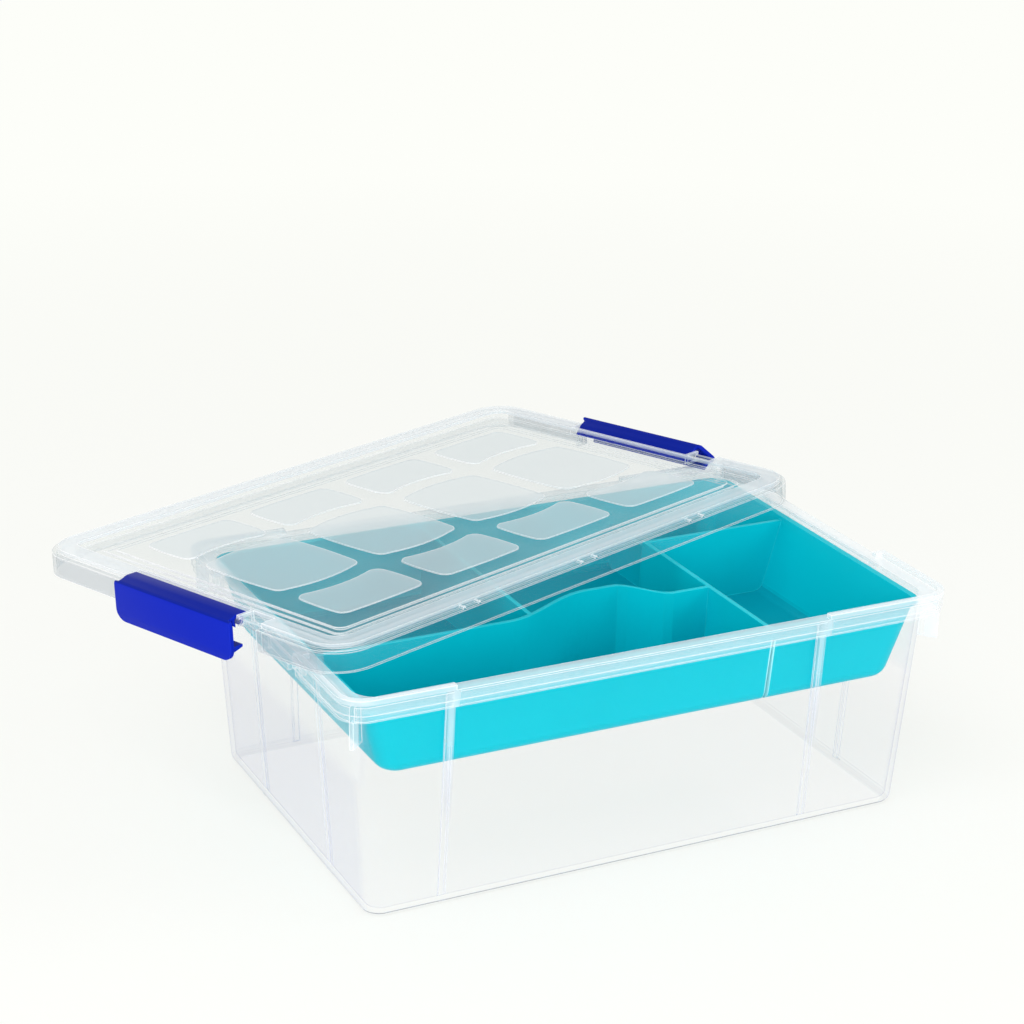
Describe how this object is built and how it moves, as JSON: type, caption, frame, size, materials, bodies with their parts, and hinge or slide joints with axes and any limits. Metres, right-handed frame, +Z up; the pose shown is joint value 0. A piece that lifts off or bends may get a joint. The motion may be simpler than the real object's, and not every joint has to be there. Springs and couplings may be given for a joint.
{
  "type": "latching storage case with divided tray",
  "caption": "Clear plastic craft case with a lift-out divided tray, a clear lid lying askew on the open box, and a hinged snap latch at each end of the lid",
  "frame": {"origin": "the middle of the box's underside, on the surface that the case stands on", "axes": "+X along the box to the right, +Y from front to back, +Z up; the box stands level and square to the axes"},
  "size_m": [0.3678, 0.3232, 0.1284],
  "materials": {
    "clear_body": "gloss",
    "clear_lid": "gloss",
    "teal_tray": "satin",
    "blue_latch": "satin"
  },
  "bodies": {
    "box": {"storage_box": "clear_body"},
    "tray": {"divided_tray": "teal_tray"},
    "lid": {"lid": "clear_lid"},
    "latch_left": {"latch_left": "blue_latch"},
    "latch_right": {"latch_right": "blue_latch"}
  },
  "joints": [
    {"name": "tray_lift", "type": "slide", "parent": "box", "child": "tray", "axis": [0, 0, 1], "range_m": [0, 0.08]},
    {"name": "lid_lift", "type": "slide", "parent": "tray", "child": "lid", "axis": [0, 0, 1], "range_m": [0, 0.12]},
    {"name": "latch_left_hinge", "type": "hinge", "parent": "lid", "child": "latch_left", "pos_m": [-0.18083, 0.02348, 0.1155], "axis": [-0.3288, 0.9425, -0.0597], "range_deg": [0, 110]},
    {"name": "latch_right_hinge", "type": "hinge", "parent": "lid", "child": "latch_right", "pos_m": [0.10866, 0.12469, 0.11914], "axis": [0.3288, -0.9425, 0.0597], "range_deg": [0, 60]}
  ]
}
